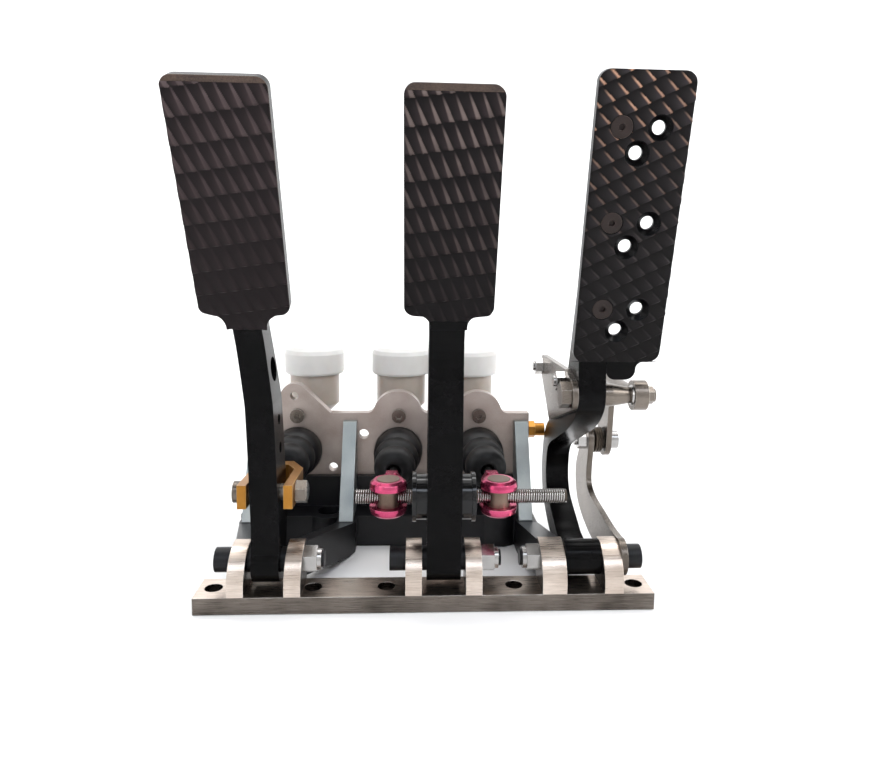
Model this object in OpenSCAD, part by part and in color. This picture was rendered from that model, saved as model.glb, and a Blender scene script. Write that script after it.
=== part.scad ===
// Floor-mounted pedal box with clutch, brake and throttle pedals.
// Millimetres, X across the car, Y forward, Z up from the floor.
// The origin is midway between the two end floor bolts of the front bar.

/* [Front bar] */
// Length of the front bar across the car
bar_w = 335; // [328:1:345]
// Depth of the front bar
bar_d = 30; // [29:0.5:33]
// Thickness of the front bar
bar_t = 12.5; // [11:0.5:14]
// Distance from the middle to each end floor bolt
end_bolt_x = 156.5; // [155:0.5:158]
// Radius of the floor-bolt holes
floor_hole_r = 6.5; // [5.5:0.25:6.75]
// Radius of the round front of each pivot lug
lug_r = 27.7; // [26:0.1:28.5]

/* [Pivots] */
// Height of the pedal pivots above the floor
pivot_z = 32; // [31:0.5:33]
// Radius of the pivot bolts
bolt_r = 6; // [5:0.25:6.5]
// Radius of the bolt heads
head_r = 9; // [8.5:0.25:9.5]
// Running clearance on each pivot radius
run_gap = 0.05; // [0.02:0.01:0.08]

/* [Pedals] */
// Middle of the clutch pedal
clutch_x = -117.2; // [-118:0.1:-116]
// Middle of the brake pedal
brake_x = 12.2; // [11.5:0.1:13]
// Middle of the throttle pedal
throttle_x = 116.5; // [116:0.1:117]
// Width of the clutch arm
clutch_arm_w = 20; // [17:0.5:21]
// Width of the brake arm
brake_arm_w = 25; // [22:0.5:27]
// Width of the throttle arm
throttle_arm_w = 20; // [18:0.5:20.5]
// Width of the foot pads
pad_w = 62; // [58:0.5:66]
// Height of the clutch pad
clutch_pad_h = 157; // [145:1:162]
// Height of the brake pad
brake_pad_h = 151; // [140:1:156]
// Height of the throttle pad
throttle_pad_h = 195; // [188:1:200]
// Thickness of the clutch and brake pads
pad_t = 8; // [7:0.5:9]
// Thickness of the throttle pad
throttle_pad_t = 6; // [5:0.5:7]

/* [Cylinders] */
// Height of the cylinder axes
axis_z = 77.5; // [76.5:0.5:78.5]
// Half the distance between the two brake cylinders
brake_half = 37; // [36:0.5:38]
// Radius of the cylinder bores
bore_r = 9.525; // [9:0.025:10]
// Radius of the reservoirs
reservoir_r = 24.3; // [22:0.1:24.6]
// Radius of the reservoir caps
cap_r = 29.2; // [28:0.1:30]

/* [Frame] */
// Height of the rear frame
frame_h = 27.5; // [26:0.5:29]
// Front face of the mount plate
plate_y = 134; // [133:0.5:135]
// Thickness of the mount plate
plate_t = 10; // [8:0.5:10]
// Thickness of the gussets
gusset_t = 12; // [10:0.5:13]

/* [Hidden] */
$fn = 64;
bar_front = -16;
bar_back = bar_front + bar_d;
pivot_y = 5;
pivot = [pivot_y, pivot_z];
clutch_gap = 28.5;
brake_gap = 32;
lug_w = 12;
clutch_lug = clutch_x - clutch_gap / 2;
brake_lug = brake_x - brake_gap / 2;
throttle_gap = 28;
throttle_lug = throttle_x - throttle_gap / 2;
throttle_lug_left = 18;
throttle_lug_right = 14;
upright_x = throttle_lug + throttle_gap + throttle_lug_right;
upright_t = 5;
bush_r = 9;
clutch_tilt = 2.6;
clutch_bend = 3.6;
rod_r = 4;
rod_gap = 0.3;
rod_ball_r = 6;
nose_r = 14;
nose_y = plate_y - 10;
boot_y = plate_y - 62.5;
boot_length = 67.5;
piston_y = plate_y + 14;
ball_y = piston_y + 4;
clutch_pin = [8.5, axis_z + 5];
rod_slope = atan((clutch_pin[1] - axis_z) / (ball_y - clutch_pin[0]));
rod_length = norm([ball_y - clutch_pin[0], clutch_pin[1] - axis_z]);
boot_tilt = atan((clutch_pin[1] - axis_z - (boot_y - clutch_pin[0]) * tan(rod_slope)) / boot_length);
fork_in = clutch_arm_w / 2 + 3.3;
fork_out = fork_in + 6.5;
bar_axis = [11, axis_z];
clevis_half = 41.5;
rod_side = clevis_half - brake_half;
rod_yaw = atan(rod_side / (ball_y - bar_axis[0]));
brake_rod = norm([ball_y - bar_axis[0], rod_side]);
boot_yaw = atan(rod_side * (ball_y - boot_y) / (ball_y - bar_axis[0]) / boot_length);
bar_r = 5.55;
nut_r = 1.73 * bolt_r;
cross_y = plate_y - 33;
pot_y = plate_y + 65;
front_x = brake_x - brake_half;
rear_x = brake_x + brake_half;
pots = [clutch_x + 6.5, front_x + 0.5, rear_x - 6];
plate_back = plate_y + plate_t;
lip_y = plate_y - 6;
lip_z = 55;
plate_left = -160;
plate_right = 96;
plate_top = 113;
screw_z = 33;
clutch_foot = [-13.7, 224, 24.2];
brake_foot = [-18.2, 219.6, 18.4];
throttle_foot = [-11, 189.4, 14.1];
throttle_pad_x = throttle_x + 16.5;
stud = [-2, 158];
crank = [112, 94];
crank_end = [102, 156];
crank_hole = crank + [10, 27];
link_end = crank_end + [0, 0.35];
link_x = upright_x + 8.5;
crank_x = upright_x + 15;
lever_t = 4;
lever_x = throttle_x - throttle_arm_w / 2 - lever_t;
lever_holes = [[16, 165], [106, 162]];
pad_rows = [154.6, 93.5, 33.3];

// Point on a smooth curve through four neighbours
function blend(a, b, c, d, t) =
  0.5 * (2 * b + (c - a) * t + (2 * a - 5 * b + 4 * c - d) * t * t + (3 * b - a - 3 * c + d) * t * t * t);
// Smooth curve through all the points of a list
function curve(p, n = 6) = concat(
  [for (i = [0 : len(p) - 2]) for (j = [0 : n - 1])
    blend(p[max(i - 1, 0)], p[i], p[i + 1], p[min(i + 2, len(p) - 1)], j / n)],
  [p[len(p) - 1]]);
// Side-view point at a height along a pad and a depth behind its face
function behind(foot, up, back) = [
  foot[0] - up * sin(foot[2]) + back * cos(foot[2]),
  foot[1] + up * cos(foot[2]) + back * sin(foot[2])];

// Side-view outline made solid across the car
module side(x, w) {
  translate([x, 0, 0])
    rotate([90, 0, 90])
      linear_extrude(w)
        children();
}

// Round bar along X
module across(x, w, r, at, faces = 64) {
  translate([x, at[0], at[1]])
    rotate([0, 90, 0])
      cylinder(r = r, h = w, $fn = faces);
}

// Round bar along Y
module along(x, y, w, r, z, faces = 64) {
  translate([x, y, z])
    rotate([-90, 0, 0])
      cylinder(r = r, h = w, $fn = faces);
}

// Turns a profile of radius against distance about the Y axis
module turned(x, y, z) {
  translate([x, y, z])
    rotate([-90, 0, 0])
      rotate_extrude()
        children();
}

// Tapered bar with round ends in side view
module strap(p, q, rp, rq) {
  d = norm(q - p);
  a = atan2(q[1] - p[1], q[0] - p[0]);
  s = acos((rp - rq) / d);
  translate(p)
    circle(rp);
  translate(q)
    circle(rq);
  polygon([p + rp * [cos(a + s), sin(a + s)], q + rq * [cos(a + s), sin(a + s)],
    q + rq * [cos(a - s), sin(a - s)], p + rp * [cos(a - s), sin(a - s)]]);
}

// Rounded rectangle from its low corner
module rounded(w, h, r) {
  translate([r, 0])
    square([w - 2 * r, h]);
  translate([0, r])
    square([w, h - 2 * r]);
  for (x = [r, w - r])
    for (y = [r, h - r])
      translate([x, y])
        circle(r);
}

// Puts a shape in the frame of a pad, face on Y = 0 and Z up the pad
module on_pad(x, foot) {
  translate([x, foot[0], foot[1]])
    rotate([foot[2], 0, 0])
      children();
}

// Plate with its outline drawn on the pad face
module pad_plate(t) {
  translate([0, t, 0])
    rotate([90, 0, 0])
      linear_extrude(t)
        children();
}

module lug(x, w) {
  side(x, w) {
    translate([bar_front, 0])
      square([bar_d, 16.3]);
    intersection() {
      translate([bar_front + lug_r, 16.3])
        circle(lug_r, $fn = 96);
      translate([bar_front, 16])
        square([bar_d, 40]);
    }
  }
}

module base_bar() {
  color([0.55, 0.54, 0.52])
    difference() {
      union() {
        translate([-bar_w / 2, bar_front, 0])
          cube([bar_w, bar_d, bar_t]);
        lug(clutch_lug - lug_w, lug_w);
        lug(clutch_lug + clutch_gap, lug_w);
        lug(brake_lug - lug_w, lug_w);
        lug(brake_lug + brake_gap, lug_w);
        lug(throttle_lug - throttle_lug_left, throttle_lug_left);
        lug(throttle_lug + throttle_gap, throttle_lug_right);
      }
      across(-160, 320, bolt_r + run_gap, pivot);
      for (x = [-end_bolt_x, -84, -30, 65.3, end_bolt_x])
        translate([x, 0, -1])
          cylinder(r = floor_hole_r, h = bar_t + 2);
    }
}

// Leg from a lug back to the cross member
module leg(front_left, front_right, back_left, back_right) {
  intersection() {
    linear_extrude(60)
      polygon([[front_left, bar_back], [front_right, bar_back], [back_right, cross_y - 13],
        [back_right, cross_y + 3], [back_left, cross_y + 3], [back_left, cross_y - 13]]);
    side(-200, 400)
      polygon([[bar_back, 15], [bar_back, 42], [cross_y - 17, frame_h], [cross_y + 3, frame_h],
        [cross_y + 3, 0], [cross_y - 23, 0]]);
  }
}

module rear_frame() {
  color([0.09, 0.09, 0.1])
    difference() {
      union() {
        linear_extrude(frame_h) {
          translate([plate_left - 3, cross_y])
            rounded(plate_right - plate_left + 4, 48, 6);
          for (x = [-87, 66])
            translate([x, cross_y + 14])
              circle(19);
        }
        leg(clutch_lug - lug_w, clutch_lug, -160, -144);
        leg(clutch_lug + clutch_gap, clutch_lug + clutch_gap + lug_w, -77, -61);
        leg(throttle_lug - throttle_lug_left, throttle_lug, 80, 97);
        translate([plate_left, lip_y, frame_h - 1])
          cube([plate_right - plate_left, plate_y - lip_y, lip_z - frame_h + 1]);
      }
      for (x = [-87, 66]) {
        translate([x, cross_y + 14, -1])
          cylinder(r = 5.5, h = 40);
        translate([x, cross_y + 14, 15])
          cylinder(r = 10, h = 40);
      }
    }
}

// Outline on the mount plate made solid through it
module plate_slab(t) {
  translate([0, plate_y + t, 0])
    rotate([90, 0, 0])
      linear_extrude(t)
        children();
}

// Round lobe on the plate's top edge, with a fillet on each side
module lobe(x, r, z, f) {
  up = plate_top + f - z;
  out = sqrt((r + f) * (r + f) - up * up);
  along(x, plate_y, plate_t, r, z);
  for (s = [-1, 1])
    difference() {
      plate_slab(plate_t)
        polygon([[x, plate_top - 1], [x + s * out, plate_top - 1], [x + s * out, plate_top],
          [x + s * out * r / (r + f), z + up * r / (r + f)], [x, z]]);
      along(x + s * out, plate_y - 1, plate_t + 2, f, plate_top + f);
    }
}

module mount_plate() {
  color([0.62, 0.62, 0.64])
    difference() {
      union() {
        translate([plate_left, plate_y, frame_h])
          cube([plate_right - plate_left, plate_t, plate_top - frame_h]);
        for (x = [front_x, rear_x])
          lobe(x - 1, 22.5, plate_top - 2, 7);
        along(clutch_x - 3, plate_y, plate_t, 12.6, 127.5);
        plate_slab(plate_t)
          polygon([[clutch_x - 17, plate_top - 1], [clutch_x - 15.6, 127.5], [clutch_x + 5.5, 136.8],
            [clutch_x + 31, plate_top - 1]]);
      }
      for (x = [clutch_x, front_x, rear_x]) {
        along(x, plate_y - 1, plate_t + 2, 22.2, axis_z);
        for (s = [-1, 1])
          along(x, plate_y - 1, plate_t + 2, 4.2, axis_z + s * screw_z);
      }
      along(-57, plate_y - 1, plate_t + 2, 4.5, 93);
      along(-85, plate_y - 1, plate_t + 2, 4, 62);
      along(clutch_x - 3, plate_y - 1, plate_t + 2, 3.6, 128.5);
      across(plate_right - 14, 20, 4, [plate_y + plate_t / 2, 96.5]);
    }
}

module gusset(x) {
  color([0.6, 0.62, 0.64])
    side(x, gusset_t)
      polygon([[plate_y - 46, frame_h], [lip_y, frame_h], [lip_y, lip_z], [plate_y, lip_z], [plate_y, 106],
        [plate_y - 6, 106]]);
}

module gusset_left() {
  gusset(-158);
}

module gusset_middle() {
  gusset(-75);
}

module gusset_right() {
  gusset(82);
}

// Socket-head pivot bolt, its head on the low or the high X side
module pivot_bolt(x, length, head_high) {
  color([0.06, 0.06, 0.07])
    difference() {
      union() {
        across(x, length, bolt_r, pivot);
        across(head_high ? x + length : x - 12, 12, head_r, pivot);
      }
      across(head_high ? x + length + 6 : x - 13, 7, 5.5, pivot, 6);
    }
}

module clutch_pivot_bolt() {
  pivot_bolt(clutch_lug - lug_w, clutch_gap + 2 * lug_w + 15, false);
}

module brake_pivot_bolt() {
  pivot_bolt(brake_lug - lug_w, brake_gap + 2 * lug_w + 15, false);
}

module throttle_pivot_bolt() {
  far = upright_x + upright_t;
  near = throttle_lug - throttle_lug_left - 15;
  pivot_bolt(near, far - near, true);
}

module pivot_nut(x, mirrored) {
  difference() {
    union() {
      across(x, 10, nut_r, pivot, 6);
      across(mirrored ? x - 3 : x + 10, 3, 8, pivot);
    }
    across(x - 5, 25, bolt_r, pivot);
  }
}

module pivot_nuts() {
  color([0.75, 0.75, 0.76]) {
    pivot_nut(clutch_lug + clutch_gap + lug_w, false);
    pivot_nut(brake_lug + brake_gap + lug_w, false);
    pivot_nut(throttle_lug - throttle_lug_left - 10, true);
  }
}

module cylinder_body(x, pot_x) {
  color([0.5, 0.5, 0.52])
    difference() {
      union() {
        translate([x, plate_back + 8, axis_z])
          rotate([90, 0, 0])
            linear_extrude(8) {
              circle(25);
              translate([-11, -screw_z])
                square([22, 2 * screw_z]);
              for (s = [-1, 1])
                translate([0, s * screw_z])
                  circle(11);
            }
        along(x, nose_y, plate_back - nose_y + 1, nose_r, axis_z);
        along(x, plate_back + 7, 100, 17, axis_z);
        along(x, plate_back + 106, 14, 12, axis_z);
        translate([pot_x, pot_y, axis_z])
          cylinder(r = 11, h = 24);
      }
      along(x, nose_y - 4, 115, bore_r, axis_z);
      along(x, plate_back + 108, 20, 4.5, axis_z);
      along(x, plate_back + 80, 40, 2, axis_z);
      translate([pot_x, pot_y, axis_z])
        cylinder(r = 4, h = 40);
      for (s = [-1, 1])
        along(x, plate_back - 1, 12, 4, axis_z + s * screw_z);
    }
}

module clutch_cylinder() {
  cylinder_body(clutch_x, pots[0]);
}

module front_cylinder() {
  cylinder_body(front_x, pots[1]);
}

module rear_cylinder() {
  cylinder_body(rear_x, pots[2]);
}

// Fluid pot standing on the cylinder body
module reservoir(x) {
  color([0.75, 0.75, 0.73])
    translate([x, pot_y, axis_z + 24])
      rotate_extrude()
        polygon([[4, 0], [16, 0], [reservoir_r, 8], [reservoir_r, 60.4], [reservoir_r - 2.5, 60.4],
          [reservoir_r - 2.5, 10], [14, 3], [4, 3]]);
}

module clutch_reservoir() {
  reservoir(pots[0]);
}

module front_reservoir() {
  reservoir(pots[1]);
}

module rear_reservoir() {
  reservoir(pots[2]);
}

module reservoir_cap(x) {
  color([0.9, 0.91, 0.9])
    translate([x, pot_y, axis_z + 62.5])
      rotate_extrude()
        polygon([[0, 22.4], [0, 28], [cap_r - 14, 27.6], [cap_r - 6, 26.2], [cap_r - 1.6, 23.6], [cap_r, 20], [cap_r, 2],
          [cap_r - 1, 0], [reservoir_r + 0.35, 0], [reservoir_r + 0.35, 22.4]]);
}

module clutch_cap() {
  reservoir_cap(pots[0]);
}

module front_cap() {
  reservoir_cap(pots[1]);
}

module rear_cap() {
  reservoir_cap(pots[2]);
}

module flange_screws() {
  color([0.72, 0.72, 0.74])
    for (x = [clutch_x, front_x, rear_x])
      for (s = [-1, 1])
        difference() {
          union() {
            along(x, s > 0 ? plate_y - 4 : plate_y, plate_t + 18, 3.95, axis_z + s * screw_z);
            along(x, plate_back + 8, 6.5, 7.5, axis_z + s * screw_z, 6);
            if (s > 0)
              along(x, plate_y - 4, 4, 6.5, axis_z + s * screw_z);
          }
          if (s > 0)
            along(x, plate_y - 5, 4, 2.9, axis_z + s * screw_z, 6);
        }
}

// Rubber dust boot, wide end in the mount plate and small end on the rod
module boot(x, tilt, yaw) {
  color([0.05, 0.05, 0.05])
    translate([x, boot_y + boot_length, axis_z])
      rotate([-tilt, 0, yaw])
        turned(0, -boot_length, 0)
          polygon([[rod_r + rod_gap, 0], [8, 0], [12.5, 1.5], [15.8, 4.5], [17.2, 8.5], [17.6, 13], [17.4, 18],
            [15.6, 22.5], [18.4, 27], [19.6, 32], [19.4, 37], [17.8, 40.5], [20.6, 46], [21.8, 51],
            [21.8, boot_length - 5], [21, boot_length], [nose_r + 0.9, boot_length], [nose_r + 0.9, boot_length - 16],
            [15.2, 42], [16.6, 35], [15.6, 29], [13, 23], [14.6, 17], [14.4, 12], [12.5, 7.5], [9, 4.2],
            [rod_r + rod_gap, 3.2]]);
}

module clutch_boot() {
  boot(clutch_x, boot_tilt, 0);
}

module front_boot() {
  boot(front_x, 0, -boot_yaw);
}

module rear_boot() {
  boot(rear_x, 0, boot_yaw);
}

module piston(x) {
  color([0.7, 0.68, 0.6])
    difference() {
      along(x, piston_y, 40, bore_r - run_gap, axis_z);
      along(x, piston_y - 1, ball_y + rod_ball_r + rod_gap - piston_y + 1, 8, axis_z);
    }
}

module clutch_piston() {
  piston(clutch_x);
}

module front_piston() {
  piston(front_x);
}

module rear_piston() {
  piston(rear_x);
}

// Foot pad outline with its neck, centred on X
module pad_outline(low, top, neck_w, neck_low, f) {
  translate([-pad_w / 2, low])
    rounded(pad_w, top - low, 7);
  translate([-neck_w / 2, neck_low])
    square([neck_w, low - neck_low + 1]);
  for (s = [-1, 1])
    difference() {
      translate([s > 0 ? neck_w / 2 - 0.5 : -neck_w / 2 - f, low - f])
        square([f + 0.5, f + 0.5]);
      translate([s * (neck_w / 2 + f), low - f])
        circle(f);
    }
}

module clutch_profile() {
  polygon(concat(
    curve([[-9, 26], [-7, 60], [-3, 105], [-1, 150], [-2, 185], behind(clutch_foot, -21.5, 0),
      behind(clutch_foot, 20, pad_t - 1), behind(clutch_foot, 105, pad_t - 1)]),
    curve([behind(clutch_foot, 108, pad_t + 9), behind(clutch_foot, 50, pad_t + 16),
      behind(clutch_foot, 0, pad_t + 20), [29, 168], [31, 131], [30, 104], [28, 76], [23, 50], [18, 24]])));
  translate(pivot)
    circle(16);
}

module clutch_arm() {
  color([0.06, 0.06, 0.07])
    difference() {
      union() {
        intersection() {
          side(clutch_x - clutch_arm_w / 2, clutch_arm_w)
            clutch_profile();
          translate([clutch_x - 50, -100, 0])
            cube([100, 300, 63]);
        }
        translate([clutch_x, 0, 62])
          rotate([0, -clutch_tilt, 0])
            translate([-clutch_x, 0, -62]) {
              intersection() {
                side(clutch_x - clutch_arm_w / 2, clutch_arm_w)
                  clutch_profile();
                translate([clutch_x - 50, -100, 62])
                  cube([100, 300, 88]);
              }
              translate([clutch_x, 0, 149])
                rotate([0, -clutch_bend, 0])
                  translate([-clutch_x, 0, -149])
                    intersection() {
                      side(clutch_x - clutch_arm_w / 2, clutch_arm_w)
                        clutch_profile();
                      translate([clutch_x - 50, -100, 149])
                        cube([100, 300, 300]);
                    }
            }
      }
      on_pad(clutch_x, clutch_foot)
        translate([-60, -60, -21.5])
          cube([120, 60 + pad_t, 250]);
      across(clutch_x - 30, 60, bush_r, pivot);
      across(clutch_x - 30, 60, 6, clutch_pin);
      across(clutch_x - 40, 80, 9, [16, 173]);
      for (p = [[17, 135], [16, 114]])
        across(clutch_x - 40, 80, 4, p);
    }
}

module clutch_pad() {
  color([0.05, 0.05, 0.055])
    on_pad(clutch_x - 10, clutch_foot)
      pad_plate(pad_t)
        pad_outline(-10, clutch_pad_h - 10, 28, -21.5, 10.5);
}

module bush(x, w) {
  color([0.08, 0.08, 0.085])
    difference() {
      across(x - w / 2, w, bush_r, pivot);
      across(x - w, 2 * w, bolt_r + run_gap, pivot);
    }
}

module clutch_bush() {
  bush(clutch_x, clutch_gap - 0.4);
}

// Clevis pin with a head on the left and a nut on the right
module clutch_clevis_pin() {
  color([0.78, 0.78, 0.79]) {
    across(clutch_x - fork_out - 2, 2 * fork_out + 11, 6 - run_gap, clutch_pin);
    across(clutch_x - fork_out - 5.3, 5, 8, clutch_pin);
    across(clutch_x + fork_out + 0.3, 8, 8.6, clutch_pin, 6);
  }
}

module clutch_link_frame() {
  translate([clutch_x, clutch_pin[0], clutch_pin[1]])
    rotate([-rod_slope, 0, 0])
      children();
}

module clutch_clevis() {
  color([0.8, 0.52, 0.14])
    clutch_link_frame()
      difference() {
        translate([0, 0, -8.6])
          linear_extrude(17.2)
            difference() {
              polygon([[-fork_out, -14], [-fork_out, 33], [-9, 54], [9, 54], [fork_out, 33], [fork_out, -14]]);
              polygon([[-fork_in, -15], [-fork_in, 31], [-7, 43], [7, 43], [fork_in, 31], [fork_in, -15]]);
            }
        across(-40, 80, 6, [0, 0]);
        along(0, 40, 30, rod_r, 0);
      }
}

module clutch_pushrod() {
  color([0.74, 0.74, 0.75])
    clutch_link_frame() {
      along(0, 43, rod_length - 43, rod_r, 0);
      along(0, 54, 7, 8.5, 0, 6);
      translate([0, rod_length, 0])
        sphere(r = rod_ball_r, $fn = 48);
    }
}

module brake_profile() {
  polygon(concat(
    curve([[-10, 26], [-12, 55], [-15, 78], [-13, 105], [-11, 150], [-9, 190], behind(brake_foot, -14.5, 0),
      behind(brake_foot, 20, pad_t - 1), behind(brake_foot, 105, pad_t - 1)]),
    curve([behind(brake_foot, 108, pad_t + 9), behind(brake_foot, 50, pad_t + 17),
      behind(brake_foot, 0, pad_t + 23), [26, 165], [30, 130], [31, 100], [28, 78], [24, 52], [18, 24]])));
}

module brake_arm() {
  left = brake_x - brake_arm_w / 2;
  color([0.06, 0.06, 0.07])
    difference() {
      union() {
        side(left, brake_arm_w)
          brake_profile();
        across(left, brake_arm_w, 16, pivot);
        across(left, brake_arm_w, 21.5, bar_axis);
      }
      on_pad(brake_x, brake_foot)
        translate([-60, -60, -14.5])
          cube([120, 60 + pad_t, 250]);
      across(brake_x - 30, 60, bush_r, pivot);
      across(brake_x - 30, 60, 17, bar_axis);
    }
}

module brake_pad() {
  color([0.05, 0.05, 0.055])
    on_pad(brake_x + 1, brake_foot)
      difference() {
        pad_plate(pad_t)
          pad_outline(-4, brake_pad_h - 4, 26, -14.5, 8);
        translate([-50, 0, brake_pad_h - 8])
          rotate([45, 0, 0])
            translate([0, -20, 0])
              cube([100, 40, 20]);
      }
}

module brake_bush() {
  bush(brake_x, brake_gap - 0.4);
}

// Black sleeve through the brake arm, a collar at each end
module balance_sleeve() {
  color([0.04, 0.04, 0.045])
    difference() {
      union() {
        across(brake_x - 23.5, 47, 17, bar_axis);
        for (x = [brake_x - 23.5, brake_x + 20.5])
          across(x, 3, 18.5, bar_axis);
      }
      across(brake_x - 30, 60, 13, bar_axis);
    }
}

module balance_bearing() {
  color([0.7, 0.7, 0.72])
    difference() {
      across(brake_x - 5, 10, 13, bar_axis);
      translate([brake_x, bar_axis[0], bar_axis[1]])
        sphere(r = 11 + run_gap, $fn = 64);
    }
}

// Turned bar with the ball of its bearing in the middle
module balance_bar() {
  color([0.7, 0.68, 0.66])
    translate([brake_x, bar_axis[0], bar_axis[1]])
      rotate([0, 90, 0])
        rotate_extrude()
          union() {
            translate([0, -clevis_half - 25])
              square([bar_r, 2 * clevis_half + 76.5]);
            translate([0, -9])
              square([7.5, 18]);
            intersection() {
              circle(11);
              translate([0, -7])
                square([20, 14]);
            }
          }
}

// Round fork on the balance bar, turned in plan towards its cylinder
module round_clevis(s) {
  color([0.78, 0.16, 0.32])
    translate([brake_x + s * clevis_half, bar_axis[0], bar_axis[1]])
      rotate([0, 0, s * rod_yaw])
        difference() {
          union() {
            rotate_extrude()
              polygon([[0, -13.5], [10.8, -13.5], [13.2, -11.6], [14, -9], [14, 9], [13.2, 11.6], [10.8, 13.5], [0, 13.5]]);
            along(0, 8, 25, 7.5, 0);
          }
          translate([-20, -20, -6.7])
            cube([40, 29.5, 13.4]);
          translate([0, 0, -20])
            cylinder(r = 8.5 + run_gap, h = 40);
          along(0, 8, 40, rod_r, 0);
        }
}

module front_clevis() {
  round_clevis(-1);
}

module rear_clevis() {
  round_clevis(1);
}

module trunnion(x) {
  color([0.45, 0.4, 0.36])
    difference() {
      translate([x, bar_axis[0], bar_axis[1] - 13.8])
        cylinder(r = 8.5, h = 27.6);
      across(x - 20, 40, bar_r + run_gap, bar_axis);
    }
}

module front_trunnion() {
  trunnion(brake_x - clevis_half);
}

module rear_trunnion() {
  trunnion(brake_x + clevis_half);
}

module brake_pushrod(s) {
  color([0.74, 0.74, 0.75])
    translate([brake_x + s * clevis_half, bar_axis[0], bar_axis[1]])
      rotate([0, 0, s * rod_yaw]) {
        along(0, 9.5, brake_rod - 9.5, rod_r, 0);
        along(0, 33, 7, 8.5, 0, 6);
        translate([0, brake_rod, 0])
          sphere(r = rod_ball_r, $fn = 48);
      }
}

module front_pushrod() {
  brake_pushrod(-1);
}

module rear_pushrod() {
  brake_pushrod(1);
}

module throttle_profile() {
  polygon(concat(
    curve([[5, 38], [24, 33], [44, 34], [58, 39], [74, 45], [89, 52], [97, 63], [98, 78], [94, 91], [82, 100], [54, 112],
      [24, 125], [4, 136], [-9, 148], [-12, 158], [-10.5, 170], behind(throttle_foot, -6, 0)]),
    [behind(throttle_foot, 20, 0), behind(throttle_foot, 60, throttle_pad_t - 1), behind(throttle_foot, 166, throttle_pad_t - 1)],
    curve([behind(throttle_foot, 168, throttle_pad_t + 8), behind(throttle_foot, 100, throttle_pad_t + 13),
      behind(throttle_foot, 20, throttle_pad_t + 20), [27, 165], [35, 146], [69, 128], [97, 114], [112, 98],
      [118, 77], [117, 60], [108, 43], [88, 30], [62, 20], [35, 13], [5, 19]])));
}

module throttle_arm() {
  color([0.06, 0.06, 0.07])
    difference() {
      union() {
        side(throttle_x - throttle_arm_w / 2, throttle_arm_w)
          throttle_profile();
        across(throttle_lug + 0.3, throttle_gap - 0.6, 13, pivot);
      }
      on_pad(throttle_pad_x, throttle_foot)
        translate([-60, -60, -6])
          cube([120, 60 + throttle_pad_t, 250]);
      across(throttle_x - 30, 60, bush_r, pivot);
      across(throttle_x - 30, 60, 5, stud);
      across(lever_x, 12, 4, lever_holes[0]);
      for (z = pad_rows)
        on_pad(throttle_pad_x - 13.5, throttle_foot)
          translate([0, 0, z])
            rotate([-90, 0, 0])
              cylinder(r = 3, h = 18);
    }
}

module throttle_pad() {
  color([0.05, 0.05, 0.055])
    on_pad(throttle_pad_x, throttle_foot)
      difference() {
        pad_plate(throttle_pad_t)
          difference() {
            union() {
              translate([-pad_w / 2, -6])
                rounded(pad_w, throttle_pad_h, 8);
              translate([-5.9, -20])
                rounded(21, 40, 7);
              difference() {
                translate([14.6, -11])
                  square([5.5, 6]);
                translate([20.1, -11])
                  circle(5);
              }
            }
            for (z = pad_rows) {
              translate([-13.5, z])
                circle(3.1);
              translate([-2, z - 16])
                circle(4.5);
              translate([11.3, z])
                circle(4.5);
            }
          }
        for (z = pad_rows) {
          translate([-13.5, -0.01, z])
            rotate([-90, 0, 0])
              cylinder(r1 = 7.1, r2 = 3.1, h = 4);
          for (p = [[-2, z - 16], [11.3, z]])
            translate([p[0], -0.01, p[1]])
              rotate([-90, 0, 0])
                cylinder(r1 = 8, r2 = 4.5, h = 3.6);
        }
      }
}

module pad_screws() {
  color([0.08, 0.08, 0.085])
    on_pad(throttle_pad_x, throttle_foot)
      for (z = pad_rows)
        translate([-13.5, 0, z])
          rotate([-90, 0, 0])
            difference() {
              union() {
                cylinder(r1 = 7, r2 = 3, h = 4);
                cylinder(r = 3, h = 18);
              }
              translate([0, 0, -1])
                cylinder(r = 2.4, h = 3.4, $fn = 6);
            }
}

module throttle_bush() {
  bush(throttle_lug + throttle_gap / 2, throttle_gap - 0.4);
}

// Flat lever on the left of the throttle arm
module cable_lever() {
  color([0.6, 0.57, 0.54])
    difference() {
      union() {
        across(lever_x, lever_t, 11.5, stud);
        across(lever_x, lever_t, 10, lever_holes[1]);
        side(lever_x, lever_t)
          polygon([stud + [0, 11.5], lever_holes[0] + [0, 9], lever_holes[1] + [0, 10], lever_holes[1] + [7, -7.1], [72, 122],
            stud + [-4, -10.8]]);
      }
      across(lever_x - 10, 30, 5, stud);
      for (p = lever_holes)
        across(lever_x - 10, 30, 4, p);
    }
}

module lever_studs() {
  color([0.7, 0.7, 0.71]) {
    for (p = lever_holes) {
      across(lever_x - 9, 20, 4, p);
      across(lever_x - 7, 7, 7.2, p, 6);
    }
    across(lever_x + lever_t, 3, 7.2, lever_holes[1]);
  }
}

module stud_bolt() {
  color([0.68, 0.62, 0.56]) {
    across(lever_x - 1, link_x + 13 - lever_x, 5, stud);
    across(lever_x - 7.5, 7.5, 9.8, stud, 6);
    across(link_x + 6, 4.5, 6.6, stud, 6);
  }
}

module cone_spacer() {
  start = throttle_x + throttle_arm_w / 2;
  color([0.68, 0.64, 0.6])
    translate([start, stud[0], stud[1]])
      rotate([0, 90, 0])
        rotate_extrude()
          polygon([[5, 0], [8.2, 0], [8.2, 6], [5.8, link_x - 6 - start], [5, link_x - 6 - start]]);
}

// Ball of the rod end on the throttle stud
module stud_ball() {
  color([0.75, 0.75, 0.76])
    translate([link_x, stud[0], stud[1]])
      rotate([0, 90, 0])
        rotate_extrude()
          intersection() {
            circle(9);
            translate([5, -6])
              square([10, 12]);
          }
}

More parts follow.
